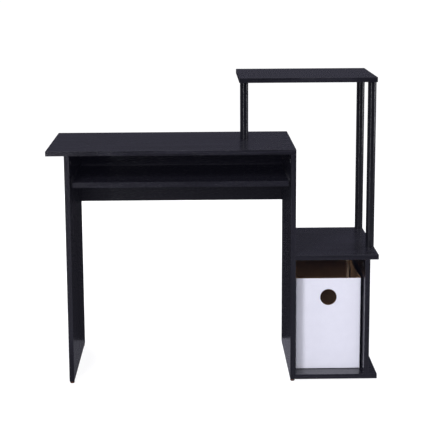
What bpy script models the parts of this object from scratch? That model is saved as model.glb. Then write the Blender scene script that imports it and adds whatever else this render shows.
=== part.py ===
"""Computer desk with a sliding keyboard tray, a side shelf on tubes and a pull-out bin.

Units are metres. +Z is up, the user sits at -Y, and the origin is on the floor under the
middle of the desk. Boards are laminated particle board held by cam locks, as on a flat-pack
desk that is put together with a screwdriver.
"""
import math

import bmesh
import bpy
from mathutils import Matrix, Vector

# ---------------------------------------------------------------- driving dimensions
WIDTH = 1.000
DEPTH = 0.395
BOARD = 0.015
GAP = 0.0003
CUT_REACH = 0.010
FOOT_HEIGHT = 0.008

DESK_WIDTH = 0.748
DESK_TOP = 0.723
DESK_OVERHANG = 0.055
MODESTY_BOTTOM = 0.4975

SHELF_OVERHANG = 0.0255
MIDDLE_TOP = 0.399
UPPER_TOP = 0.929
UPPER_WIDTH = 0.419
UPPER_DEPTH = 0.310

TUBE_RADIUS = 0.013
TUBE_WALL = 0.0012
LEFT_TUBE_INSET = (0.0206, 0.1536)
RIGHT_TUBE_INSET = 0.0132
FRONT_TUBE_BACK = 0.1125
REAR_TUBE_BACK = 0.3815

TRAY_THICKNESS = 0.016
TRAY_DEPTH = 0.305
TRAY_SETBACK = 0.025
TRAY_MIDDLE = 0.6155
TRAY_SIDE_GAP = 0.0055
TRAY_TRAVEL = 0.220

BIN_WIDTH = 0.200
BIN_DEPTH = 0.275
BIN_HEIGHT = 0.290
BIN_WALL = 0.003
BIN_SETBACK = 0.055
BIN_HOLE_RADIUS = 0.0255
BIN_HOLE_BELOW_TOP = 0.060

EDGE_BEVEL = 0.0006

# ---------------------------------------------------------------- fittings
CAM_RADIUS = 0.0075
CAM_HEIGHT = 0.0116
CAM_SETBACK = 0.028
CAM_RECESS = 0.0004
CAM_SLOT = 0.0037
FITTING_INSET = 0.055
PILOT_RADIUS = 0.0033
PILOT_DEPTH = 0.0118
EDGE_BORE_RADIUS = 0.004

PLUG_RADIUS = 0.0114
PLUG_LENGTH = 0.018
STUD_RADIUS = 0.004
STUD_LENGTH = 0.011

GLIDE_RADIUS = 0.007
GLIDE_INSET = 0.012
BOARD_GLIDE_SETBACK = 0.045
NAIL_RADIUS = 0.0012
NAIL_LENGTH = 0.012

SCREW_LENGTH = 0.045
SCREW_HEAD_RADIUS = 0.005
SCREW_HEAD_HEIGHT = 0.0035
SCREW_BORE_RADIUS = 0.0037

RAIL_LENGTH = 0.300
RAIL_SETBACK = 0.060
RAIL_HEIGHT = 0.020
RAIL_DEPTH = 0.0043
RAIL_GAUGE = 0.001
STOP_HEIGHT = 0.0018
STOP_LENGTH = 0.004
RUNNER_LENGTH = 0.265
RUNNER_HEIGHT = 0.016
RUNNER_THICKNESS = 0.0015
RUNNER_SETBACK = 0.0025
SHOE_LENGTH = 0.0275
SHOE_HEIGHT = 0.0172
SHOE_THICKNESS = 0.0018

# ---------------------------------------------------------------- places worked out from them
LEFT = -WIDTH / 2
RIGHT = WIDTH / 2
FRONT = -DEPTH / 2
REAR = DEPTH / 2
DESK_UNDERSIDE = DESK_TOP - BOARD
MIDDLE_UNDERSIDE = MIDDLE_TOP - BOARD
UPPER_UNDERSIDE = UPPER_TOP - BOARD
BOTTOM_TOP = FOOT_HEIGHT + BOARD

LEFT_PANEL = (LEFT + DESK_OVERHANG, LEFT + DESK_OVERHANG + BOARD)
CENTRE_PANEL = (LEFT + DESK_WIDTH - BOARD, LEFT + DESK_WIDTH)
RIGHT_PANEL = (RIGHT - SHELF_OVERHANG - BOARD, RIGHT - SHELF_OVERHANG)
LEFT_PANEL_MIDDLE = sum(LEFT_PANEL) / 2
CENTRE_PANEL_MIDDLE = sum(CENTRE_PANEL) / 2
RIGHT_PANEL_MIDDLE = sum(RIGHT_PANEL) / 2
FITTING_ROWS = {"front": FRONT + FITTING_INSET, "rear": REAR - FITTING_INSET}

FINE_SIDES = 32
SMALL_SIDES = 16
BOLT_SIDES = 10


# ---------------------------------------------------------------- scene and materials
def clear_scene():
    for old in list(bpy.data.objects):
        bpy.data.objects.remove(old, do_unlink=True)


def new_collection(name):
    collection = bpy.data.collections.new(name)
    bpy.context.scene.collection.children.link(collection)
    return collection


def material(name, colour, roughness, metallic=0.0):
    result = bpy.data.materials.new(name)
    result.use_nodes = True
    shader = result.node_tree.nodes["Principled BSDF"]
    shader.inputs["Base Color"].default_value = (*colour, 1.0)
    shader.inputs["Roughness"].default_value = roughness
    shader.inputs["Metallic"].default_value = metallic
    return result


clear_scene()
DESK = new_collection("computer_desk_with_keyboard_tray")
CUTTERS = new_collection("cutters")

LAMINATE = material("black_laminate", (0.018, 0.018, 0.022), 0.38)
BLACK_STEEL = material("black_steel", (0.020, 0.020, 0.023), 0.32, 0.2)
RAIL_STEEL = material("rail_steel", (0.055, 0.055, 0.060), 0.35, 0.9)
ZINC = material("zinc", (0.42, 0.42, 0.43), 0.38, 1.0)
NYLON = material("nylon", (0.55, 0.54, 0.50), 0.50)
BROWN_PLASTIC = material("brown_plastic", (0.16, 0.075, 0.045), 0.45)
BLACK_PLASTIC = material("black_plastic", (0.02, 0.02, 0.02), 0.45)
WHITE_CARD = material("white_card", (0.82, 0.82, 0.86), 0.55)


# ---------------------------------------------------------------- modelling helpers
def add_object(name, mesh, place=Matrix(), finish=None, collection=None):
    result = bpy.data.objects.new(name, mesh)
    (collection or DESK).objects.link(result)
    result.matrix_world = place
    if finish is not None:
        result.data.materials.clear()
        result.data.materials.append(finish)
    return result


def box_mesh(name, size):
    mesh = bpy.data.meshes.new(name)
    work = bmesh.new()
    bmesh.ops.create_cube(work, size=1.0)
    bmesh.ops.scale(work, vec=Vector(size), verts=work.verts)
    work.to_mesh(mesh)
    work.free()
    return mesh


def box(name, low, high, finish):
    """A box between two corners, with its origin at its middle."""
    size = [high[i] - low[i] for i in range(3)]
    middle = Vector([(high[i] + low[i]) / 2 for i in range(3)])
    return add_object(name, box_mesh(name, size), Matrix.Translation(middle), finish)


def board(name, low, high):
    """A laminated board with slightly eased edges."""
    result = box(name, low, high, LAMINATE)
    bevel = result.modifiers.new("eased_edges", "BEVEL")
    bevel.width = EDGE_BEVEL
    bevel.segments = 1
    return result


def as_cutter(cutter):
    cutter.hide_render = True
    cutter.display_type = "WIRE"
    return cutter


def cut(target, cutter):
    boolean = target.modifiers.new("cut_" + cutter.name, "BOOLEAN")
    boolean.operation = "DIFFERENCE"
    boolean.solver = "EXACT"
    boolean.object = cutter


def along(direction):
    """The rotation that turns +Z to a direction."""
    return Vector((0, 0, 1)).rotation_difference(Vector(direction)).to_matrix().to_4x4()


def bore(target, start, end, radius, sides=SMALL_SIDES):
    """Cut a round hole in a piece, from one point to another."""
    start = Vector(start)
    end = Vector(end)
    mesh = bpy.data.meshes.new("bore")
    work = bmesh.new()
    bmesh.ops.create_cone(work, cap_ends=True, segments=sides, radius1=radius, radius2=radius,
                          depth=(end - start).length)
    work.to_mesh(mesh)
    work.free()
    place = Matrix.Translation((start + end) / 2) @ along(end - start)
    cut(target, as_cutter(add_object("bore_in_" + target.name, mesh, place, None, CUTTERS)))


def slot(target, low, high):
    """Cut a box-shaped slot in a piece, between two opposite corners."""
    size = [high[i] - low[i] for i in range(3)]
    middle = Vector([(high[i] + low[i]) / 2 for i in range(3)])
    place = Matrix.Translation(middle)
    cutter = add_object("slot_in_" + target.name, box_mesh("slot", size), place, None, CUTTERS)
    cut(target, as_cutter(cutter))


def evaluated_mesh(source, name):
    """The mesh of an object with its modifiers carried out. The object is then removed."""
    graph = bpy.context.evaluated_depsgraph_get()
    graph.update()
    mesh = bpy.data.meshes.new_from_object(source.evaluated_get(graph))
    mesh.name = name
    bpy.data.objects.remove(source, do_unlink=True)
    mesh.set_sharp_from_angle(angle=math.radians(35))
    return mesh


def turned_mesh(name, profile, closed=False, sides=SMALL_SIDES):
    """A turned shape about +Z. The profile of (radius, height) runs down its outer side."""
    mesh = bpy.data.meshes.new(name)
    work = bmesh.new()
    points = [work.verts.new((radius, 0.0, height)) for radius, height in profile]
    pairs = list(zip(points, points[1:]))
    if closed:
        pairs.append((points[-1], points[0]))
    for first, second in pairs:
        work.edges.new((first, second))
    work.to_mesh(mesh)
    work.free()
    shape = add_object(name, mesh)
    screw = shape.modifiers.new("turn", "SCREW")
    screw.steps = sides
    screw.render_steps = sides
    screw.use_merge_vertices = True
    screw.merge_threshold = 0.00001
    screw.use_smooth_shade = True
    return evaluated_mesh(shape, name)


# ---------------------------------------------------------------- boards
def boards():
    """The nine boards, each standing clear of its neighbours by the gap."""
    pieces = {}

    def add(name, low, high):
        pieces[name] = board(name, low, high)

    add("desktop", (LEFT, FRONT, DESK_UNDERSIDE), (LEFT + DESK_WIDTH, REAR, DESK_TOP))
    add("left_side_panel", (LEFT_PANEL[0], FRONT, FOOT_HEIGHT),
        (LEFT_PANEL[1], REAR, DESK_UNDERSIDE - GAP))
    add("centre_side_panel", (CENTRE_PANEL[0], FRONT, FOOT_HEIGHT),
        (CENTRE_PANEL[1], REAR, DESK_UNDERSIDE - GAP))
    add("right_side_panel", (RIGHT_PANEL[0], FRONT, BOTTOM_TOP + GAP),
        (RIGHT_PANEL[1], REAR, MIDDLE_UNDERSIDE - GAP))
    add("modesty_panel", (LEFT_PANEL[1] + GAP, REAR - BOARD, MODESTY_BOTTOM),
        (CENTRE_PANEL[0] - GAP, REAR, DESK_UNDERSIDE - GAP))
    add("middle_shelf", (CENTRE_PANEL[1] + GAP, FRONT, MIDDLE_UNDERSIDE),
        (RIGHT, REAR, MIDDLE_TOP))
    add("bottom_board", (CENTRE_PANEL[1] + GAP, FRONT, FOOT_HEIGHT), (RIGHT, REAR, BOTTOM_TOP))
    add("upper_shelf", (RIGHT - UPPER_WIDTH, REAR - UPPER_DEPTH, UPPER_UNDERSIDE),
        (RIGHT, REAR, UPPER_TOP))
    return pieces


# ---------------------------------------------------------------- cam locks
def cam_bolt_mesh():
    """A cam bolt along +Z from its threaded point: thread, collar, shank, neck and head."""
    thread = PILOT_RADIUS - GAP
    head_top = CAM_SETBACK + 0.0005
    profile = [
        (0.0, head_top), (0.0026, head_top), (0.0032, head_top - 0.0008),
        (0.0032, head_top - 0.0030), (0.0018, head_top - 0.0036), (0.0018, head_top - 0.0062),
        (0.0026, head_top - 0.0070), (0.0026, 0.0026), (0.0036, 0.0026), (0.0036, 0.0006),
        (thread, 0.0), (thread, -0.0095), (0.0014, -0.0113), (0.0, -0.0113),
    ]
    return turned_mesh("cam_bolt", profile, sides=BOLT_SIDES)


def cam_lock_mesh():
    """A cam lock about +Z with its face on top, a slotted skirt and a cross in its face."""
    face = BOARD / 2 - CAM_RECESS
    base = face - CAM_HEIGHT
    profile = [
        (0.0, face), (CAM_RADIUS - 0.0005, face), (CAM_RADIUS, face - 0.0005),
        (CAM_RADIUS, base), (0.0, base),
    ]
    body = add_object("cam_lock", turned_mesh("cam_lock", profile))
    slot(body, (-0.009, -CAM_SLOT, base - 0.001), (0.004, CAM_SLOT, CAM_SLOT))
    for length, width in ((0.0036, 0.0008), (0.0008, 0.0036)):
        slot(body, (-length, -width, face - 0.0018), (length, width, face + 0.001))
    cutters = [modifier.object for modifier in body.modifiers]
    mesh = evaluated_mesh(body, "cam_lock")
    for cutter in cutters:
        bpy.data.objects.remove(cutter, do_unlink=True)
    return mesh


def cam_joint(tag, cam_board, mating_board, corner, into, face, meshes):
    """Join an edge of cam_board to a face of mating_board with one cam lock and its bolt.

    corner is on the joint at the middle of the cam board's thickness, into points from the
    mating board into the cam board, and face is the normal of the face the cam opens on.
    """
    into = Vector(into)
    face = Vector(face)
    corner = Vector(corner)
    centre = corner + into * CAM_SETBACK
    surface = centre + face * BOARD / 2
    floor = surface - face * (CAM_HEIGHT + 0.001)
    bore(cam_board, surface + face * 0.001, floor, CAM_RADIUS + 0.0004, FINE_SIDES)
    bore(cam_board, corner - into * 0.001, centre, EDGE_BORE_RADIUS)
    bore(mating_board, corner + into * 0.001, corner - into * PILOT_DEPTH, PILOT_RADIUS)
    across = face.cross(into)
    turn = Matrix((into, across, face)).transposed().to_4x4()
    add_object("cam_lock_" + tag, meshes["lock"], Matrix.Translation(centre) @ turn, ZINC)
    add_object("cam_bolt_" + tag, meshes["bolt"], Matrix.Translation(corner) @ along(into), ZINC)


def cam_joints(pieces):
    meshes = {"lock": cam_lock_mesh(), "bolt": cam_bolt_mesh()}
    down = (0, 0, -1)
    left = (-1, 0, 0)
    right = (1, 0, 0)
    for row, y in FITTING_ROWS.items():
        cam_joint("left_panel_" + row, pieces["left_side_panel"], pieces["desktop"],
                  (LEFT_PANEL_MIDDLE, y, DESK_UNDERSIDE), down, right, meshes)
        cam_joint("centre_panel_" + row, pieces["centre_side_panel"], pieces["desktop"],
                  (CENTRE_PANEL_MIDDLE, y, DESK_UNDERSIDE), down, left, meshes)
        cam_joint("right_panel_" + row, pieces["right_side_panel"], pieces["middle_shelf"],
                  (RIGHT_PANEL_MIDDLE, y, MIDDLE_UNDERSIDE), down, left, meshes)
        cam_joint("middle_shelf_" + row, pieces["middle_shelf"], pieces["centre_side_panel"],
                  (CENTRE_PANEL[1], y, MIDDLE_UNDERSIDE + BOARD / 2), right, down, meshes)
        cam_joint("bottom_board_" + row, pieces["bottom_board"], pieces["centre_side_panel"],
                  (CENTRE_PANEL[1], y, FOOT_HEIGHT + BOARD / 2), right, down, meshes)
    middle = (MODESTY_BOTTOM + DESK_UNDERSIDE) / 2
    for side, panel, x, into in (("left", "left_side_panel", LEFT_PANEL[1], right),
                                 ("right", "centre_side_panel", CENTRE_PANEL[0], left)):
        cam_joint("modesty_" + side, pieces["modesty_panel"], pieces[panel],
                  (x, REAR - BOARD / 2, middle), into, (0, 1, 0), meshes)


# ---------------------------------------------------------------- screws under the bottom board
def confirmat_screws(pieces):
    """Two screws from below hold the right side panel to the bottom board."""
    profile = [
        (0.0, SCREW_LENGTH), (0.0012, SCREW_LENGTH), (0.0026, SCREW_LENGTH - 0.004),
        (0.0026, 0.0145), (0.0033, 0.0135), (0.0033, SCREW_HEAD_HEIGHT + 0.0012),
        (SCREW_HEAD_RADIUS, SCREW_HEAD_HEIGHT), (SCREW_HEAD_RADIUS, 0.0), (0.0, 0.0),
    ]
    mesh = turned_mesh("confirmat_screw", profile)
    for row, y in FITTING_ROWS.items():
        start = Vector((RIGHT_PANEL_MIDDLE, y, FOOT_HEIGHT + 0.0005))
        up = Vector((0, 0, 1))
        bore(pieces["bottom_board"], start - up * 0.002, start + up * (SCREW_HEAD_HEIGHT + 0.0016),
             SCREW_HEAD_RADIUS + 0.0004)
        bore(pieces["bottom_board"], start, start + up * (BOARD + 0.005), SCREW_BORE_RADIUS)
        bore(pieces["right_side_panel"], start, start + up * (SCREW_LENGTH + 0.0015),
             SCREW_BORE_RADIUS)
        add_object("confirmat_screw_" + row, mesh, Matrix.Translation(start), ZINC)


# ---------------------------------------------------------------- feet
def glides(pieces):
    """Nail-on plastic glides under the side panels and the bottom board's free end."""
    top = FOOT_HEIGHT - GAP
    profile = [
        (0.0, top + NAIL_LENGTH), (NAIL_RADIUS, top + NAIL_LENGTH - 0.002), (NAIL_RADIUS, top),
        (GLIDE_RADIUS - 0.001, top), (GLIDE_RADIUS, top - 0.002), (GLIDE_RADIUS, 0.0015),
        (GLIDE_RADIUS - 0.0015, 0.0), (0.0, 0.0),
    ]
    mesh = turned_mesh("glide", profile)
    columns = (("left", "left_side_panel", LEFT_PANEL_MIDDLE, GLIDE_INSET),
               ("centre", "centre_side_panel", CENTRE_PANEL_MIDDLE, GLIDE_INSET),
               ("right", "bottom_board", RIGHT - GLIDE_INSET, BOARD_GLIDE_SETBACK))
    for column, name, x, setback in columns:
        for row, y in (("front", FRONT + setback), ("rear", REAR - setback)):
            bore(pieces[name], (x, y, FOOT_HEIGHT - 0.001),
                 (x, y, FOOT_HEIGHT + NAIL_LENGTH + 0.0008), NAIL_RADIUS + 0.0004, BOLT_SIDES)
            place = Matrix.Translation((x, y, 0.0))
            add_object("glide_" + column + "_" + row, mesh, place, BROWN_PLASTIC)


# ---------------------------------------------------------------- tubes and their end plugs
def tube(tag, x, y, base, base_piece, pieces, plug_mesh):
    """A round tube from a board up to the upper shelf, with a studded plug in each end."""
    bottom = base + GAP
    top = UPPER_UNDERSIDE - GAP
    inner = TUBE_RADIUS - TUBE_WALL
    profile = [(TUBE_RADIUS, top), (TUBE_RADIUS, bottom), (inner, bottom), (inner, top)]
    mesh = turned_mesh("tube", profile, closed=True, sides=FINE_SIDES)
    add_object(tag + "_tube", mesh, Matrix.Translation((x, y, 0.0)), BLACK_STEEL)
    upside_down = Matrix.Rotation(math.pi, 4, "X")
    hole_depth = STUD_LENGTH + 0.001
    add_object(tag + "_tube_top_plug", plug_mesh, Matrix.Translation((x, y, top)), BLACK_PLASTIC)
    add_object(tag + "_tube_foot_plug", plug_mesh,
               Matrix.Translation((x, y, bottom)) @ upside_down, BLACK_PLASTIC)
    bore(pieces["upper_shelf"], (x, y, UPPER_UNDERSIDE - 0.001),
         (x, y, UPPER_UNDERSIDE + hole_depth), STUD_RADIUS + 0.0004)
    bore(base_piece, (x, y, base + 0.001), (x, y, base - hole_depth), STUD_RADIUS + 0.0004)


def tubes(pieces):
    profile = [
        (0.0, STUD_LENGTH), (STUD_RADIUS - 0.0008, STUD_LENGTH),
        (STUD_RADIUS, STUD_LENGTH - 0.0012), (STUD_RADIUS, 0.0), (PLUG_RADIUS, 0.0),
        (PLUG_RADIUS, -PLUG_LENGTH + 0.0015), (PLUG_RADIUS - 0.001, -PLUG_LENGTH),
        (0.0, -PLUG_LENGTH),
    ]
    plug = turned_mesh("tube_plug", profile)
    left_x = RIGHT - UPPER_WIDTH + LEFT_TUBE_INSET[0]
    tube("left", left_x, REAR - LEFT_TUBE_INSET[1], DESK_TOP, pieces["desktop"], pieces, plug)
    right_x = RIGHT - RIGHT_TUBE_INSET
    for tag, back in (("right_front", FRONT_TUBE_BACK), ("right_rear", REAR_TUBE_BACK)):
        tube(tag, right_x, FRONT + back, MIDDLE_TOP, pieces["middle_shelf"], pieces, plug)


# ---------------------------------------------------------------- keyboard tray and its slides
def mirrored_box(name, side, wall, near, far, y_range, half_height, finish):
    """A box beside a tray end. near and far are distances from the panel's inner face."""
    xs = sorted((wall + side * near, wall + side * far))
    return box(name, (xs[0], y_range[0], TRAY_MIDDLE - half_height),
               (xs[1], y_range[1], TRAY_MIDDLE + half_height), finish)


def tray_slide(tag, wall, side, carrier):
    """One slide: a channel on the panel, a runner on the tray and a nylon shoe behind it.

    wall is the panel's inner face and side is +1 where the tray lies towards +X.
    """
    rail_front = FRONT + RAIL_SETBACK
    rail_rear = rail_front + RAIL_LENGTH
    web = GAP + RAIL_GAUGE
    rail = mirrored_box(tag + "_tray_rail", side, wall, GAP, GAP + RAIL_DEPTH,
                        (rail_front, rail_rear), RAIL_HEIGHT / 2, RAIL_STEEL)
    inside = RAIL_HEIGHT / 2 - RAIL_GAUGE
    runner_front = rail_front + RUNNER_SETBACK
    runner_rear = runner_front + RUNNER_LENGTH
    shoe_front = runner_rear - SHOE_LENGTH
    stop_rear = shoe_front - TRAY_TRAVEL - 0.0005
    stop_front = stop_rear - STOP_LENGTH

    def groove(near, y_range):
        xs = sorted((wall + side * near, wall + side * CUT_REACH))
        slot(rail, (xs[0], y_range[0], TRAY_MIDDLE - inside),
             (xs[1], y_range[1], TRAY_MIDDLE + inside))

    groove(web + STOP_HEIGHT, (rail_front - 0.001, rail_rear + 0.001))
    groove(web, (rail_front - 0.001, stop_front))
    groove(web, (stop_rear, rail_rear + 0.001))

    tray_end = TRAY_SIDE_GAP - GAP
    runner = mirrored_box(tag + "_tray_runner", side, wall, tray_end - RUNNER_THICKNESS,
                          tray_end, (runner_front, runner_rear), RUNNER_HEIGHT / 2, RAIL_STEEL)
    shoe_near = web + GAP
    shoe = mirrored_box(tag + "_runner_shoe", side, wall, shoe_near, shoe_near + SHOE_THICKNESS,
                        (shoe_front, runner_rear), SHOE_HEIGHT / 2, NYLON)
    for piece in (runner, shoe):
        piece.parent = carrier
        piece.matrix_parent_inverse = carrier.matrix_world.inverted()


def keyboard_tray():
    """The tray board with both of its slides. The carrier empty marks the sliding axis."""
    front = FRONT + TRAY_SETBACK
    low = (LEFT_PANEL[1] + TRAY_SIDE_GAP, front, TRAY_MIDDLE - TRAY_THICKNESS / 2)
    high = (CENTRE_PANEL[0] - TRAY_SIDE_GAP, front + TRAY_DEPTH,
            TRAY_MIDDLE + TRAY_THICKNESS / 2)
    carrier = bpy.data.objects.new("tray_slide_axis", None)
    DESK.objects.link(carrier)
    carrier.location = ((low[0] + high[0]) / 2, front, TRAY_MIDDLE)
    bpy.context.view_layer.update()
    tray = board("keyboard_tray", low, high)
    tray.parent = carrier
    tray.matrix_parent_inverse = carrier.matrix_world.inverted()
    tray_slide("left", LEFT_PANEL[1], 1, carrier)
    tray_slide("right", CENTRE_PANEL[0], -1, carrier)


# ---------------------------------------------------------------- storage bin
def storage_bin():
    """An open box of stiff card with a round finger hole in its front."""
    bay_middle = (CENTRE_PANEL[1] + RIGHT_PANEL[0]) / 2
    front = FRONT + BIN_SETBACK
    base = BOTTOM_TOP + GAP
    place = Vector((bay_middle, front, base))
    mesh = box_mesh("storage_bin", (BIN_WIDTH, BIN_DEPTH, BIN_HEIGHT))
    work = bmesh.new()
    work.from_mesh(mesh)
    bmesh.ops.translate(work, vec=(0.0, BIN_DEPTH / 2, BIN_HEIGHT / 2), verts=work.verts)
    lid = [face for face in work.faces if face.normal.z > 0.5]
    bmesh.ops.delete(work, geom=lid, context="FACES_ONLY")
    work.to_mesh(mesh)
    work.free()
    result = add_object("storage_bin", mesh, Matrix.Translation(place), WHITE_CARD)
    walls = result.modifiers.new("walls", "SOLIDIFY")
    walls.thickness = BIN_WALL
    walls.offset = -1.0
    walls.use_even_offset = True
    walls.use_rim = True
    hole = Vector((bay_middle, front, base + BIN_HEIGHT - BIN_HOLE_BELOW_TOP))
    back = Vector((0.0, CUT_REACH, 0.0))
    bore(result, hole - back, hole + back, BIN_HOLE_RADIUS, FINE_SIDES)


def build():
    pieces = boards()
    cam_joints(pieces)
    confirmat_screws(pieces)
    glides(pieces)
    tubes(pieces)
    keyboard_tray()
    storage_bin()
    bpy.context.view_layer.update()


build()
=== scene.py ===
"""Looks for the computer desk with a keyboard tray: materials, fine pieces, light and camera.

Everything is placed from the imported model's own boxes. Units are metres, +Z up, front at -Y.
Colours are linear, angles are in degrees, and the axes are numbered x 0, y 1 and z 2.
"""
import math

import bmesh
import bpy
from mathutils import Matrix, Quaternion, Vector

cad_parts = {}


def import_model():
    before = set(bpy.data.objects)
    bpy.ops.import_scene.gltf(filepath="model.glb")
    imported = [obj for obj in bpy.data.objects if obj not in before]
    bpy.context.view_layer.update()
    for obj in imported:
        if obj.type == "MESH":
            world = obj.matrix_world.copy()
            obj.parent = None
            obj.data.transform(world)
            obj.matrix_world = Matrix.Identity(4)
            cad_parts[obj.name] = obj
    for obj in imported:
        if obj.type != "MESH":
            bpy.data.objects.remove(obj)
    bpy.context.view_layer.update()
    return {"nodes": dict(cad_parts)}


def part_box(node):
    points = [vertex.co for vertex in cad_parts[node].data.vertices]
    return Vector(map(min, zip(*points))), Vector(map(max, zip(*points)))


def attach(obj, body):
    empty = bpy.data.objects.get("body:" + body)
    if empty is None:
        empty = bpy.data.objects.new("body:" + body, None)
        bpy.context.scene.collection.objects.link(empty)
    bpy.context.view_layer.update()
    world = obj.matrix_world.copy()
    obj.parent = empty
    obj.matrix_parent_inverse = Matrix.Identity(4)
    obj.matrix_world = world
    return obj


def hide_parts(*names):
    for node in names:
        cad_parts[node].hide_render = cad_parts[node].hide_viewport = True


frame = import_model()
NODES = frame["nodes"]


# ---------------------------------------------------------------- values: materials
# Where most of a noise's values lie, for fine textures and for soft clouds of shade.
NOISE_RANGE = (0.3, 0.7)
CLOUD_RANGE = (0.35, 0.65)

# Each board's grain axis, the other axis of its face, and the contrast of its grain.
BOARD_GRAIN = {
    "desktop": (0, 1, 1.7),
    "keyboard_tray": (0, 1, 1.0),
    "upper_shelf": (0, 1, 1.7),
    "middle_shelf": (0, 1, 1.7),
    "bottom_board": (0, 1, 1.7),
    "modesty_panel": (0, 2, 1.0),
    "left_side_panel": (2, 1, 1.0),
    "centre_side_panel": (2, 1, 1.0),
    "right_side_panel": (2, 1, 1.0),
}

# The laminate's middle tone, how far its grain reaches from it, and its other tones. The rubbed
# tone on the arrises is partly wear and partly a painted highlight.
WOOD_TONE = (0.0108, 0.0104, 0.0151)
WOOD_REACH = (0.0052, 0.0050, 0.0071)
WOOD_PORE = (0.0028, 0.0026, 0.0036)
WOOD_EDGING = (0.0014, 0.0013, 0.0020)
WOOD_RUBBED_HIGHLIGHT = (0.030, 0.029, 0.037)
PORE_SHADE = 0.75
EDGING_SHADE = 0.25
RUBBED_HIGHLIGHT_RANGE = (0.35, 1.0)

# How fine each pattern of the laminate is, along the grain and across it.
BAND_SCALE = (1.4, 18.0)
STREAK_SCALE = (5.0, 190.0)
FIBRE_SCALE = (20.0, 1100.0)
PORE_SCALE = (60.0, 1500.0)
RING_COUNT = 34.0

# The noise that makes a pore, and how the pores thin out from the rings' light side to their
# dark side.
PORE_RANGE = (0.60, 0.68)
PORE_RING_RANGE = (-0.4, 0.9)
PORE_THINNING = (0.25, 1.0)

# What the rings, streaks and bands add to the laminate's tone, and the relief of its parts.
RING_TONE = 0.42
STREAK_TONE = 0.40
BAND_TONE = 0.18
FIBRE_RELIEF = 0.30
RING_RELIEF = 0.5
WOOD_DEPTH = 0.00005
WOOD_ROUGHNESS = (0.17, 0.26)
PORE_ROUGHNESS = 0.25
WOOD_SPECULAR = 0.42

# Step of the pattern from one board to the next, so that no two boards look the same.
GRAIN_STEP = (3.1, 1.7, 2.3)

# A face looks along an axis past the first share of its normal, and is flat past the second.
FACING_SHARE = 0.6
FLAT_SHARE = 0.97

# Plain finishes: the scale and depth of the fine texture, the clouds of shade, what they
# multiply the colour by, and how far the roughness goes below and above its value.
POWDER = {
    "texture": 900.0, "depth": 0.00003, "clouds": {"scale": 14.0, "detail": 3.0},
    "cloud_range": CLOUD_RANGE, "shades": (0.8, 1.25), "spread": (0.05, 0.06),
}
PLASTIC = {
    "texture": 2200.0, "depth": 0.00004, "clouds": {"scale": 90.0, "detail": 3.0},
    "cloud_range": CLOUD_RANGE, "shades": (0.82, 1.15), "spread": (0.06, 0.08),
}
METAL = {
    "texture": 1500.0, "depth": 0.00002,
    "clouds": {"scale": 260.0, "detail": 4.0, "roughness": 0.65},
    "cloud_range": (0.40, 0.62), "shades": (0.55, 1.0), "spread": (0.08, 0.10),
}

# Paper-faced card: its mottled shade and felted fibres, and the flutes under the paper.
PAPER_MOTTLE = {"scale": 35.0, "detail": 5.0, "roughness": 0.6}
PAPER_FELT = {"scale": 700.0, "detail": 3.0, "distortion": 1.2}
PAPER_FELT_STRETCH = (1.0, 1.0, 3.0)
PAPER_TONE = (0.0, 0.5)
PAPER_SPREAD = (0.06, 0.08)
PAPER_RELIEF = 0.3
PAPER_DEPTH = 0.00005
FLUTE_PITCH = 0.0036
FLUTE_WAVE = 2 * math.pi / FLUTE_PITCH
FLUTE_RELIEF = 0.35

# The card's cut edge: gaps between the flutes with painted shade in them, and torn paper's grit
# along them.
CUT_GRIT = {"scale": 900.0, "detail": 3.0}
CUT_GRIT_SHARE = 0.8
CUT_GRIT_RELIEF = 0.4
CUT_GAP_RANGE = (0.5, 1.2)
CUT_ROUGHNESS = (0.7, 0.9)
CUT_DEPTH = 0.0003
CUT_STRENGTH = 0.6

KRAFT = (0.29, 0.170, 0.088)
KRAFT_FIBRE = (0.22, 0.125, 0.064)
# Painted shade for the gaps between the flutes at the card's cut edge.
KRAFT_GAP_PAINTED_SHADE = (0.10, 0.055, 0.028)
# Rear corner flaps: a lighter card than kraft, brightened in part as painted light for the lit
# strip in the rear corners.
FOLD_PAINTED_LIT = (0.95, 0.75, 0.52)
FOLD_PAINTED_LIT_FIBRE = (0.84, 0.64, 0.43)
PAPER_WHITE = (0.86, 0.86, 0.93)
PAPER_FIBRE = (0.80, 0.80, 0.87)


# ---------------------------------------------------------------- values: pieces
TUBE_WALL = 0.0012
TUBE_SOFTENING = 0.0003
TUBE_SIDES = 96

# The nail-on glides: the nail, the plastic foot, and how far its edges are drawn in.
GLIDE_NAIL_RADIUS = 0.0012
GLIDE_NAIL_POINT = 0.002
GLIDE_TOP = 0.0077
GLIDE_SHOULDER = (0.0008, 0.002)
GLIDE_SOLE = (0.0018, 0.0018)
GLIDE_ROUNDING = 0.0009
GLIDE_SIDES = 40

# A corner's arc takes at most this share of the shorter side next to it.
ARC_SHARE = 0.45
ARC_STEPS = 3

BIN_WALL = 0.003
BIN_FOLD = 0.0022
BIN_FOLD_STEPS = 3
BIN_GRID = 20
BIN_HOLE_RADIUS = 0.0255
BIN_HOLE_BELOW_TOP = 0.060
BIN_HOLE_SIDES = 96
BIN_HOLE_REACH = 0.02

# The card's material slots: its outer face is 0.
INNER_FACE = 1
CUT_EDGE = 2

# The bow of each wall of the bin: its axis, its end of the box, and the shift of its middle.
BIN_BOWS = ((1, 0, -0.0009), (1, 1, 0.0008), (0, 0, 0.0012), (0, 1, -0.0014))
BIN_BOW_CURVE = 0.55
ON_WALL = 0.0001

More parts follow.
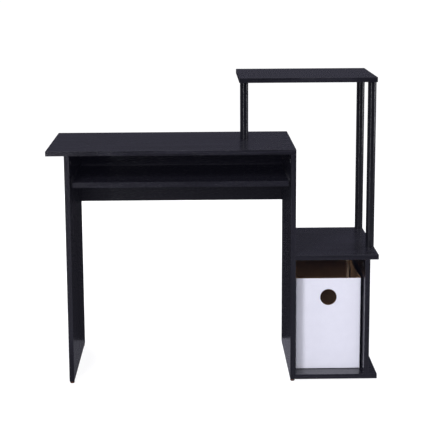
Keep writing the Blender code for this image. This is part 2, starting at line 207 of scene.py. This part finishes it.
# The corner flaps' widths across the bin and depths along its side walls. They and the floor
# pad stay clear of the bowed walls, the floor and the rim.
FRONT_FLAP = (0.0028, 0.030)
REAR_FLAP = (0.0085, 0.016)
FLAP_GAP = 0.0016
FLAP_BELOW_RIM = 0.003
FLAP_ABOVE_FLOOR = 0.003
FLAP_BEVEL = 0.0009
FLAP_BEVEL_STEPS = 3
PAD_LIFT = 0.0004
PAD_MARGIN = Vector((0.007, 0.004, 0.0))
PAD_THICKNESS = 0.002
PAD_BEVEL = 0.0006

# Past these angles an edge is sharp.
TURNED_SHARP = 38
BOX_SHARP = 50
BIN_SHARP = 40
FOLD_SHARP = 60


# ---------------------------------------------------------------- values: stage and light
FLOOR_HEIGHT = -0.0003
FLOOR_REACH = 60
FLOOR_GREY = (0.30, 0.30, 0.30, 1)
FLOOR_ROUGHNESS = 0.9
FLOOR_GLOW_RADII = (1.0, 3.0)
FLOOR_GLOW = (0.86, 1.02)

# Cards on the floor that the gloss sees: near corner, far corner, and the glow of the left
# and right side, which changes over the middle of the desk.
REFLECTOR_HEIGHT = -0.0001
REFLECTOR_TINT = (0.84, 0.83, 1.0, 1)
REFLECTOR_MIDDLE = (-0.6, 0.6)
REFLECTORS = {
    "under": ((-2.2, -0.6), (2.2, 0.25), (0.08, 0.36)),
    "front": ((-3.0, -3.0), (3.0, -0.6), (0.52, 0.27)),
    "left": ((-9.0, 0.25), (-0.75, 7.0), (0.22, 0.22)),
    "right": ((0.75, 0.25), (9.0, 7.0), (0.33, 0.33)),
}

# The studio around the desk: its tones, and the heights over which each gives way to the next.
STUDIO_BELOW = (0.016, 0.0155, 0.019)
STUDIO_LOW = (0.078, 0.077, 0.100)
STUDIO_HIGH = (0.058, 0.057, 0.075)
STUDIO_HORIZON = (-0.03, 0.03)
STUDIO_RISE = (0.06, 0.34)
BACKDROP_WHITE = (1.1, 1.1, 1.1)

# Soft lights: azimuth, elevation, distance, size, power in watts, and use, which is both, matt
# for a light that makes no highlights, or shine for highlights alone.
LIGHT_TARGET = Vector((0.0, 0.0, 0.45))
LIGHT_TINT = (0.94, 0.94, 1.0)
LIGHTS = {
    "key_left": (-22, 31, 3.6, (0.7, 0.8), 68, "both"),
    "key_gloss": (-22, 31, 3.6, (0.7, 0.8), 24, "shine"),
    "front_matt": (2, 20, 4.2, (2.2, 0.9), 30, "matt"),
    "fill_front": (8, 35, 4.2, (2.8, 1.1), 54, "both"),
    "low_left": (-27, 13, 4.2, (0.9, 0.8), 21, "matt"),
    "far_left": (-56, 13, 4.2, (0.9, 0.8), 16, "matt"),
    "low_right": (30, 8, 4.2, (1.6, 0.8), 7, "matt"),
    "side_right": (76, 14, 3.4, (0.55, 2.2), 34, "both"),
    "strip_left": (-21, 4, 3.2, (0.18, 2.6), 16, "shine"),
    "top": (0, 84, 2.6, (2.4, 1.6), 8, "both"),
    "rear": (212, 22, 3.8, (1.8, 1.2), 85, "matt"),
    "rear_right": (112, 20, 3.6, (1.8, 1.8), 55, "matt"),
    "rear_left": (250, 20, 3.6, (1.8, 1.8), 60, "matt"),
}

CAMERA_PLACE = Vector((-0.0563, -3.9398, 1.3077))
CAMERA_TARGET = Vector((0.0079, 0.0, 0.5956))
CAMERA_ROLL = -0.302
CAMERA_LENS = 106.567
CAMERA_SENSOR = 36.0
CAMERA_SHIFT = -0.08
BLACK_LEVEL = (-0.0016, -0.0016, -0.0030)


# ---------------------------------------------------------------- node helpers
class Nodes:
    """A small helper to write a tree of shader nodes in a few lines."""

    def __init__(self, tree):
        self.tree = tree

    def link(self, source, target):
        self.tree.links.new(source, target)

    def feed(self, target, value):
        """Links the value to the target if it is a socket, or else sets the target to it."""
        if isinstance(value, bpy.types.NodeSocket):
            self.link(value, target)
        else:
            target.default_value = value

    def node(self, kind, inputs=None, **settings):
        """A new node. inputs are values or sockets by the name or number of the input."""
        result = self.tree.nodes.new("ShaderNode" + kind)
        for key, value in settings.items():
            setattr(result, key, value)
        for key, value in (inputs or {}).items():
            self.feed(result.inputs[key], value)
        return result

    def coordinates(self, kind="Object"):
        return self.node("TexCoord").outputs[kind]

    def split(self, vector):
        """The x, y and z parts of a vector."""
        return self.node("SeparateXYZ", {0: vector}).outputs[:]

    def mapping(self, vector, scale, location=(0, 0, 0)):
        inputs = {"Vector": vector, "Scale": scale, "Location": location}
        return self.node("Mapping", inputs).outputs["Vector"]

    def noise(self, vector, scale=1.0, detail=2.0, roughness=0.5, distortion=0.0):
        inputs = {"Vector": vector, "Scale": scale, "Detail": detail,
                  "Roughness": roughness, "Distortion": distortion}
        return self.node("TexNoise", inputs).outputs["Fac"]

    def remap(self, value, source, target=(0.0, 1.0)):
        """The value's source range turned into the target range, and held inside it."""
        inputs = {"Value": value, "From Min": source[0], "From Max": source[1],
                  "To Min": target[0], "To Max": target[1]}
        return self.node("MapRange", inputs).outputs["Result"]

    def math(self, operation, first, second=0.0):
        return self.node("Math", {0: first, 1: second}, operation=operation).outputs["Value"]

    def total(self, first, *others):
        for other in others:
            first = self.math("ADD", first, other)
        return first

    def times(self, first, second):
        return self.math("MULTIPLY", first, second)

    def mix_colour(self, factor, first, second):
        """The first colour where the factor is 0, and the second where it is 1."""
        first, second = (value if isinstance(value, bpy.types.NodeSocket) else (*value, 1)
                         for value in (first, second))
        inputs = {"Factor": factor, 6: first, 7: second}
        return self.node("Mix", inputs, data_type="RGBA").outputs[2]

    def mix_vector(self, factor, first, second):
        """The first vector where the factor is 0, and the second where it is 1."""
        inputs = {"Factor": factor, 4: first, 5: second}
        return self.node("Mix", inputs, data_type="VECTOR").outputs[1]


class Shader(Nodes):
    """A new material and its nodes."""

    def __init__(self, name):
        self.material = bpy.data.materials.new(name)
        self.material.use_nodes = True
        super().__init__(self.material.node_tree)
        self.bsdf = self.tree.nodes["Principled BSDF"]

    def set(self, **values):
        """Sets or links the shader's own inputs. An underscore stands for a space."""
        for key, value in values.items():
            self.feed(self.bsdf.inputs[key.replace("_", " ")], value)

    def bump(self, height, distance, strength=0.5):
        inputs = {"Height": height, "Distance": distance, "Strength": strength}
        self.set(Normal=self.node("Bump", inputs).outputs["Normal"])


# ---------------------------------------------------------------- materials
def stretched(axis, along, across):
    """A scale vector that stretches a pattern along one axis."""
    return tuple(along if i == axis else across for i in range(3))


def laminate(name, grain, cross, contrast, seed):
    """Black woodgrain laminate with lighter arrises, partly rubbed wear and partly a painted
    highlight along the edges.

    grain and cross are the axes of the board's face. The bands on the ends run along the cross
    axis, as edge banding does. seed moves the pattern from board to board.
    """
    dark, light = (tuple(tone + side * contrast * reach
                         for tone, reach in zip(WOOD_TONE, WOOD_REACH))
                   for side in (-1, 1))
    offset = tuple(seed * step for step in GRAIN_STEP)
    s = Shader(name)
    place = s.coordinates()
    facing = [s.math("ABSOLUTE", part)
              for part in s.split(s.node("NewGeometry").outputs["True Normal"])]
    is_end = s.math("GREATER_THAN", facing[grain], FACING_SHARE)
    is_edging = s.math("MAXIMUM", is_end, s.math("GREATER_THAN", facing[cross], FACING_SHARE))
    flattest = s.math("MAXIMUM", s.math("MAXIMUM", facing[0], facing[1]), facing[2])
    is_arris = s.math("LESS_THAN", flattest, FLAT_SHARE)

    def pattern(scale, **settings):
        """A noise stretched along the grain of the faces and along the bands of the ends."""
        face, end = (s.mapping(place, stretched(axis, *scale), offset)
                     for axis in (grain, cross))
        return s.noise(s.mix_vector(is_end, face, end), **settings)

    bands = pattern(BAND_SCALE, detail=3.0, distortion=0.8)
    rings = s.math("SINE", s.times(bands, RING_COUNT))
    streaks = pattern(STREAK_SCALE, detail=3.0, roughness=0.6)
    fibres = pattern(FIBRE_SCALE, detail=1.0)
    pores = s.times(s.remap(pattern(PORE_SCALE, detail=0.0), PORE_RANGE),
                    s.remap(rings, PORE_RING_RANGE, PORE_THINNING))

    tone = s.total(s.remap(rings, (-1.0, 1.0), (0.0, RING_TONE)),
                   s.remap(streaks, NOISE_RANGE, (0.0, STREAK_TONE)),
                   s.remap(bands, NOISE_RANGE, (0.0, BAND_TONE)))
    colour = s.mix_colour(tone, dark, light)
    colour = s.mix_colour(s.times(pores, PORE_SHADE), colour, WOOD_PORE)
    colour = s.mix_colour(s.times(is_edging, EDGING_SHADE), colour, WOOD_EDGING)
    # Painted highlight: the arrises are lightened in streaks, partly as rubbed wear and partly as
    # the gleam of light along the edges.
    rubbed_highlight = s.times(is_arris, s.remap(streaks, CLOUD_RANGE, RUBBED_HIGHLIGHT_RANGE))
    colour = s.mix_colour(rubbed_highlight, colour, WOOD_RUBBED_HIGHLIGHT)
    roughness = s.total(s.remap(fibres, NOISE_RANGE, WOOD_ROUGHNESS),
                        s.times(pores, PORE_ROUGHNESS))
    s.set(Base_Color=colour, Roughness=roughness, Specular_IOR_Level=WOOD_SPECULAR)

    relief = s.total(s.times(fibres, FIBRE_RELIEF), s.times(rings, RING_RELIEF))
    relief = s.math("SUBTRACT", relief, pores)
    s.bump(s.times(relief, s.math("SUBTRACT", 1.0, is_arris)), WOOD_DEPTH)
    return s.material


def plain(name, colour, roughness, texture, depth, clouds, cloud_range, shades, spread,
          metallic=0.0):
    """A plain finish with clouds of shade in its colour and a fine texture over it."""
    s = Shader(name)
    place = s.coordinates()
    fine = s.noise(place, scale=texture)
    dark, light = (tuple(value * shade for value in colour) for shade in shades)
    cloudy = s.mix_colour(s.remap(s.noise(place, **clouds), cloud_range), dark, light)
    uneven = s.remap(fine, NOISE_RANGE, (roughness - spread[0], roughness + spread[1]))
    s.set(Base_Color=cloudy, Roughness=uneven, Metallic=metallic)
    s.bump(fine, depth)
    return s.material


def flutes(s, place):
    """A wave along x, with one turn for each flute of the corrugated board."""
    return s.math("SINE", s.times(s.split(place)[0], FLUTE_WAVE))


def card(name, colour, fibre, roughness, fluted=False):
    """Paper-faced board: felted fibres, and where it is fluted the flutes' faint ribs."""
    s = Shader(name)
    place = s.coordinates()
    mottle = s.noise(place, **PAPER_MOTTLE)
    fibres = s.noise(s.mapping(place, PAPER_FELT_STRETCH), **PAPER_FELT)
    tone = s.total(s.remap(mottle, NOISE_RANGE, PAPER_TONE),
                   s.remap(fibres, NOISE_RANGE, PAPER_TONE))
    uneven = (roughness - PAPER_SPREAD[0], roughness + PAPER_SPREAD[1])
    s.set(Base_Color=s.mix_colour(tone, fibre, colour),
          Roughness=s.remap(fibres, NOISE_RANGE, uneven))
    height = s.times(fibres, PAPER_RELIEF)
    if fluted:
        height = s.total(height, s.times(flutes(s, place), FLUTE_RELIEF))
    s.bump(height, PAPER_DEPTH)
    return s.material


def cut_card(name):
    """The cut edge of corrugated board, with painted shade in the gaps between the flutes."""
    s = Shader(name)
    place = s.coordinates()
    grit = s.noise(place, **CUT_GRIT)
    gap = s.remap(s.total(flutes(s, place), s.times(grit, CUT_GRIT_SHARE)), CUT_GAP_RANGE)
    # Painted shade: the gaps between the flutes are darkened where the hollows would be in shade.
    s.set(Base_Color=s.mix_colour(gap, KRAFT, KRAFT_GAP_PAINTED_SHADE),
          Roughness=s.remap(grit, NOISE_RANGE, CUT_ROUGHNESS))
    s.bump(s.math("SUBTRACT", s.times(grit, CUT_GRIT_RELIEF), gap), CUT_DEPTH, CUT_STRENGTH)
    return s.material


TUBE_COAT = plain("tube_powder_coat", (0.006, 0.006, 0.0075), 0.17, **POWDER)
SLIDE_COAT = plain("slide_black_lacquer", (0.035, 0.035, 0.040), 0.34, **POWDER)
ZINC = plain("zinc_die_cast", (0.66, 0.66, 0.68), 0.42, metallic=0.5, **METAL)
SCREW_STEEL = plain("plated_screw_steel", (0.50, 0.49, 0.47), 0.30, metallic=1.0, **METAL)
NYLON = plain("nylon_shoe", (0.52, 0.51, 0.47), 0.45, **PLASTIC)
GLIDE_BROWN = plain("brown_glide_plastic", (0.115, 0.050, 0.030), 0.42, **PLASTIC)
PLUG_BLACK = plain("black_plug_plastic", (0.015, 0.015, 0.016), 0.42, **PLASTIC)
CARD_WHITE = card("white_paper_card", PAPER_WHITE, PAPER_FIBRE, 0.6, fluted=True)
CARD_KRAFT = card("kraft_card", KRAFT, KRAFT_FIBRE, 0.75)
CARD_FOLD_PAINTED_LIT = card("card_corner_fold_painted_light", FOLD_PAINTED_LIT, FOLD_PAINTED_LIT_FIBRE, 0.7)
CARD_EDGE = cut_card("cut_card_edge")


# ---------------------------------------------------------------- mesh helpers
def recolour(nodes, finish):
    """Gives CAD nodes one finish in place of their own."""
    for node in nodes:
        NODES[node].data.materials.clear()
        NODES[node].data.materials.append(finish)


def new_object(name, data):
    result = bpy.data.objects.new(name, data)
    bpy.context.scene.collection.objects.link(result)
    return result


def new_piece(name, mesh, body, finish, place=Matrix()):
    """A new visible piece that rides on a body of the frame."""
    piece = new_object(name, mesh)
    piece.matrix_world = place
    if not mesh.materials:
        mesh.materials.append(finish)
    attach(piece, body)
    return piece


def mesh_from(name, work):
    """The bmesh as a new mesh."""
    mesh = bpy.data.meshes.new(name)
    work.to_mesh(mesh)
    work.free()
    return mesh


def smoothed(mesh, sharp):
    """The mesh shaded smooth, but for edges past the sharp angle."""
    mesh.shade_smooth()
    mesh.set_sharp_from_angle(angle=math.radians(sharp))
    return mesh


def turned(name, profile, sides, closed=False, axis_turn=Matrix()):
    """A turned mesh about +Z from (radius, height) points that run down its outer side."""
    work = bmesh.new()
    rings = []
    for radius, height in profile:
        if radius == 0.0:
            rings.append([work.verts.new((0.0, 0.0, height))])
            continue
        angles = [2 * math.pi * i / sides for i in range(sides)]
        rings.append([work.verts.new((radius * math.cos(a), radius * math.sin(a), height))
                      for a in angles])
    pairs = list(zip(rings, rings[1:]))
    if closed:
        pairs.append((rings[-1], rings[0]))
    for upper, lower in pairs:
        for i in range(sides):
            j = (i + 1) % sides
            corners = [upper[i % len(upper)], lower[i % len(lower)],
                       lower[j % len(lower)], upper[j % len(upper)]]
            corners = list(dict.fromkeys(corners))
            if len(corners) > 2:
                work.faces.new(corners)
    bmesh.ops.transform(work, matrix=axis_turn, verts=work.verts)
    bmesh.ops.recalc_face_normals(work, faces=work.faces)
    return smoothed(mesh_from(name, work), TURNED_SHARP)


def rounded_profile(points, radius):
    """The same profile with each corner between its ends turned into a small arc."""
    result = [points[0]]
    for before, here, after in zip(points, points[1:], points[2:]):
        here = Vector(here)
        back = Vector(before) - here
        ahead = Vector(after) - here
        reach = min(radius, back.length * ARC_SHARE, ahead.length * ARC_SHARE)
        start = here + back.normalized() * reach
        end = here + ahead.normalized() * reach
        for i in range(ARC_STEPS + 1):
            t = i / ARC_STEPS
            result.append(tuple(start * (1 - t) ** 2 + here * 2 * t * (1 - t) + end * t ** 2))
    result.append(points[-1])
    return result


def box_work(low, high):
    """A bmesh of the box between two corners."""
    work = bmesh.new()
    bmesh.ops.create_cube(work, size=1.0)
    bmesh.ops.scale(work, vec=Vector(high) - Vector(low), verts=work.verts)
    bmesh.ops.translate(work, vec=(Vector(high) + Vector(low)) / 2, verts=work.verts)
    return work


def box_mesh(name, low, high, bevel, segments=2):
    """A box with rounded edges."""
    work = box_work(low, high)
    bmesh.ops.bevel(work, geom=work.edges[:], offset=bevel, segments=segments,
                    profile=0.5, affect="EDGES")
    return smoothed(mesh_from(name, work), BOX_SHARP)


# ---------------------------------------------------------------- boards, tubes and fittings
def finish_boards():
    """Each board's own laminate, with the grain along its length."""
    for number, (node, grain) in enumerate(BOARD_GRAIN.items()):
        recolour([node], laminate("laminate_" + node, *grain, number))


def finish_tubes():
    """Fine round tubes with softened rims in place of the faceted ones."""
    soft = TUBE_SOFTENING
    for node in ("left_tube", "right_front_tube", "right_rear_tube"):
        low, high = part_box(node)
        middle = (low + high) / 2
        radius = (high.x - low.x) / 2
        inner = radius - TUBE_WALL
        profile = [
            (radius - soft, high.z), (radius, high.z - soft), (radius, low.z + soft),
            (radius - soft, low.z), (inner, low.z), (inner, high.z),
        ]
        mesh = turned(node + "_fine", profile, TUBE_SIDES, closed=True)
        place = Matrix.Translation((middle.x, middle.y, 0.0))
        piece = new_piece(node + "_fine", mesh, "frame", TUBE_COAT, place)
        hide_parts(node)


def finish_fittings():
    """Finishes for the small CAD nodes whose shapes stay."""
    recolour([n for n in NODES if n.startswith("cam_")], ZINC)
    recolour([n for n in NODES if n.startswith("confirmat")], SCREW_STEEL)
    recolour([n for n in NODES if n.endswith("_plug")], PLUG_BLACK)
    recolour([n for n in NODES if n.endswith(("_rail", "_runner"))], SLIDE_COAT)
    recolour([n for n in NODES if n.endswith("_shoe")], NYLON)


def finish_glides():
    """Rounded nail-on glides in place of the faceted ones."""
    nail = GLIDE_NAIL_RADIUS
    top = GLIDE_TOP
    for column in ("left", "centre", "right"):
        for row in ("front", "rear"):
            node = "glide_" + column + "_" + row
            low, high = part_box(node)
            middle = (low + high) / 2
            radius = (high.x - low.x) / 2
            profile = rounded_profile([
                (0.0, high.z), (nail, high.z - GLIDE_NAIL_POINT), (nail, top),
                (radius - GLIDE_SHOULDER[0], top), (radius, top - GLIDE_SHOULDER[1]),
                (radius, GLIDE_SOLE[1]), (radius - GLIDE_SOLE[0], low.z), (0.0, low.z),
            ], GLIDE_ROUNDING)
            mesh = turned(node + "_fine", profile, GLIDE_SIDES)
            place = Matrix.Translation((middle.x, middle.y, 0.0))
            piece = new_piece(node + "_fine", mesh, "frame", GLIDE_BROWN, place)
            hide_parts(node)


# ---------------------------------------------------------------- storage bin
def bin_bow(point, corners):
    """How far a wall of folded card leans from flat: out at the front and rear, in at the sides.

    The bow grows from nothing at the floor, and is greatest just below the rim.
    """
    low, high = corners
    share = [(point[axis] - low[axis]) / (high[axis] - low[axis]) for axis in range(3)]
    rise = math.sin(math.pi * min(share[2], 1.0) * BIN_BOW_CURVE)
    shift = Vector((0.0, 0.0, 0.0))
    for axis, end, bow in BIN_BOWS:
        if abs(point[axis] - corners[end][axis]) < ON_WALL:
            shift[axis] = bow * math.sin(math.pi * share[1 - axis]) * rise
    return shift


def bin_shell_mesh(low, high):
    """An open box of five gridded sheets with gently bowed walls."""
    work = box_work(low, high)
    lid = [face for face in work.faces if face.normal.z > 0.5]
    bmesh.ops.delete(work, geom=lid, context="FACES_ONLY")
    bmesh.ops.subdivide_edges(work, edges=work.edges[:], cuts=BIN_GRID, use_grid_fill=True)
    shifts = [(vertex, bin_bow(vertex.co.copy(), (low, high))) for vertex in work.verts]
    for vertex, shift in shifts:
        vertex.co += shift
    return mesh_from("bin_shell", work)


def add_card_finishes(mesh):
    """The finishes of the card's outer face, inner face and cut edge, in the slots' order."""
    for finish in (CARD_WHITE, CARD_KRAFT, CARD_EDGE):
        mesh.materials.append(finish)


def bin_hole_cutter(low, high):
    """A disc that cuts the finger hole through the front wall, and leaves a cut card edge."""
    turn = Matrix.Rotation(math.pi / 2, 4, "X")
    radius = BIN_HOLE_RADIUS
    reach = BIN_HOLE_REACH
    profile = [(0.0, reach), (radius, reach), (radius, -reach), (0.0, -reach)]
    mesh = turned("bin_hole", profile, BIN_HOLE_SIDES, axis_turn=turn)
    add_card_finishes(mesh)
    for face in mesh.polygons:
        face.material_index = CUT_EDGE
    cutter = new_object("bin_hole_cutter", mesh)
    cutter.location = ((low.x + high.x) / 2, low.y, high.z - BIN_HOLE_BELOW_TOP)
    return cutter


def apply_modifiers(piece):
    """Carries out a piece's modifiers and keeps only the result."""
    graph = bpy.context.evaluated_depsgraph_get()
    graph.update()
    mesh = bpy.data.meshes.new_from_object(piece.evaluated_get(graph))
    piece.modifiers.clear()
    piece.data = mesh


def storage_bin():
    """The card bin: a folded shell with a finger hole, corner flaps and a floor pad."""
    low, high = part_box("storage_bin")
    shell = bin_shell_mesh(low, high)
    add_card_finishes(shell)
    piece = new_piece("bin_shell", shell, "bin", CARD_WHITE)
    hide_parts("storage_bin")
    fold = piece.modifiers.new("folds", "BEVEL")
    fold.width = BIN_FOLD
    fold.segments = BIN_FOLD_STEPS
    fold.limit_method = "ANGLE"
    fold.angle_limit = math.radians(FOLD_SHARP)
    walls = piece.modifiers.new("walls", "SOLIDIFY")
    walls.thickness = BIN_WALL
    walls.offset = -1.0
    walls.use_even_offset = True
    walls.material_offset = INNER_FACE
    walls.material_offset_rim = CUT_EDGE
    cutter = bin_hole_cutter(low, high)
    hole = piece.modifiers.new("finger_hole", "BOOLEAN")
    hole.operation = "DIFFERENCE"
    hole.object = cutter
    apply_modifiers(piece)
    bpy.data.objects.remove(cutter, do_unlink=True)
    smoothed(piece.data, BIN_SHARP)
    bin_flaps(low, high)


def bin_flaps(low, high):
    """Glued flaps in the corners of the bin, and a loose pad on its floor."""
    inner_low = Vector((low.x + BIN_WALL + FLAP_GAP, low.y + BIN_WALL + FLAP_GAP,
                        low.z + BIN_WALL + PAD_LIFT))
    inner_high = Vector((high.x - BIN_WALL - FLAP_GAP, high.y - BIN_WALL - FLAP_GAP,
                         high.z - FLAP_BELOW_RIM))
    for side, x, inward in (("left", inner_low.x, 1), ("right", inner_high.x, -1)):
        # The rear flaps take the lighter card, which is partly painted light for the lit rear
        # corners.
        for end, y, forward, (width, depth), finish in (
                ("front", inner_low.y, 1, FRONT_FLAP, CARD_KRAFT),
                ("rear", inner_high.y, -1, REAR_FLAP, CARD_FOLD_PAINTED_LIT)):
            xs = sorted((x, x + inward * width))
            ys = sorted((y, y + forward * depth))
            mesh = box_mesh("flap", (xs[0], ys[0], inner_low.z + FLAP_ABOVE_FLOOR),
                            (xs[1], ys[1], inner_high.z), FLAP_BEVEL, FLAP_BEVEL_STEPS)
            new_piece("bin_flap_" + side + "_" + end, mesh, "bin", finish)
    pad_high = inner_high - PAD_MARGIN
    pad_high.z = inner_low.z + PAD_THICKNESS
    pad = box_mesh("pad", inner_low + PAD_MARGIN, pad_high, PAD_BEVEL)
    new_piece("bin_floor_pad", pad, "bin", CARD_KRAFT)


# ---------------------------------------------------------------- stage, light and camera
def stage_plane(name, low, high, height, finish):
    """A level rectangle that isn't part of the object."""
    work = bmesh.new()
    corners = [(low[0], low[1]), (high[0], low[1]), (high[0], high[1]), (low[0], high[1])]
    work.faces.new([work.verts.new((x, y, height)) for x, y in corners])
    mesh = mesh_from(name, work)
    mesh.materials.append(finish)
    plane = new_object(name, mesh)
    return plane


def reflector_material(name, glow):
    """A glowing card whose strength changes evenly from its left to its right side."""
    s = Shader(name)
    s.set(Base_Color=(0, 0, 0, 1), Roughness=1.0, Specular_IOR_Level=0.0,
          Emission_Color=REFLECTOR_TINT,
          Emission_Strength=s.remap(s.split(s.coordinates())[0], REFLECTOR_MIDDLE, glow))
    return s.material


def floor_material():
    """Pale and evenly lit, with only a trace of the object's shadow close to it."""
    s = Shader("pale_floor")
    from_middle = s.node("VectorMath", {0: s.coordinates()}, operation="LENGTH")
    s.set(Base_Color=FLOOR_GREY, Roughness=FLOOR_ROUGHNESS, Specular_IOR_Level=0.0,
          Emission_Color=(1, 1, 1, 1),
          Emission_Strength=s.remap(from_middle.outputs["Value"], FLOOR_GLOW_RADII, FLOOR_GLOW))
    return s.material


def stage():
    """A pale floor, and cards on it that the gloss of the boards picks up."""
    reach = FLOOR_REACH
    floor = stage_plane("floor", (-reach, -reach), (reach, reach), FLOOR_HEIGHT,
                        floor_material())
    floor.visible_glossy = False
    floor.visible_diffuse = False
    for side, (low, high, glow) in REFLECTORS.items():
        name = side + "_reflector"
        plane = stage_plane(name, low, high, REFLECTOR_HEIGHT, reflector_material(name, glow))
        plane.visible_diffuse = side == "under"
        for ray in ("camera", "transmission", "shadow", "volume_scatter"):
            setattr(plane, "visible_" + ray, False)


def world():
    """White behind the object for the camera, and a dim studio for everything else."""
    result = bpy.data.worlds.new("studio")
    bpy.context.scene.world = result
    result.use_nodes = True
    w = Nodes(result.node_tree)
    height = w.split(w.coordinates("Generated"))[2]
    above = w.mix_colour(w.remap(height, STUDIO_RISE), STUDIO_LOW, STUDIO_HIGH)
    studio = w.mix_colour(w.remap(height, STUDIO_HORIZON), STUDIO_BELOW, above)
    seen = w.node("LightPath").outputs["Is Camera Ray"]
    w.link(w.mix_colour(seen, studio, BACKDROP_WHITE),
           w.tree.nodes["Background"].inputs["Color"])


def softbox(name, azimuth, elevation, distance, size, power, use):
    """A rectangular soft light that looks at the middle of the desk."""
    a = math.radians(azimuth)
    e = math.radians(elevation)
    back = Vector((math.sin(a) * math.cos(e), -math.cos(a) * math.cos(e), math.sin(e)))
    light = bpy.data.lights.new(name, "AREA")
    light.shape = "RECTANGLE"
    light.size, light.size_y = size
    light.energy = power
    light.color = LIGHT_TINT
    lamp = new_object(name, light)
    lamp.location = LIGHT_TARGET + back * distance
    lamp.rotation_mode = "QUATERNION"
    lamp.rotation_quaternion = (-back).to_track_quat("-Z", "Y")
    lamp.visible_camera = False
    lamp.visible_diffuse = use != "shine"
    lamp.visible_glossy = use != "matt"


def lights():
    for name, values in LIGHTS.items():
        softbox(name, *values)


def camera():
    """A long lens from above the front of the desk, a little to the left of its middle."""
    data = bpy.data.cameras.new("camera")
    data.sensor_width = CAMERA_SENSOR
    data.lens = CAMERA_LENS
    data.shift_y = CAMERA_SHIFT
    result = new_object("camera", data)
    result.location = CAMERA_PLACE
    aim = CAMERA_TARGET - CAMERA_PLACE
    result.rotation_mode = "QUATERNION"
    roll = Quaternion((0, 0, 1), math.radians(CAMERA_ROLL))
    result.rotation_quaternion = aim.to_track_quat("-Z", "Y") @ roll
    bpy.context.scene.camera = result


def display():
    """Plain colours, with the slight veil that a bright white background puts over the blacks."""
    settings = bpy.context.scene.view_settings
    settings.view_transform = "Standard"
    settings.use_curve_mapping = True
    settings.curve_mapping.black_level = BLACK_LEVEL
    settings.curve_mapping.update()


display()
camera()
stage()
world()
lights()
finish_boards()
finish_tubes()
finish_fittings()
finish_glides()
storage_bin()
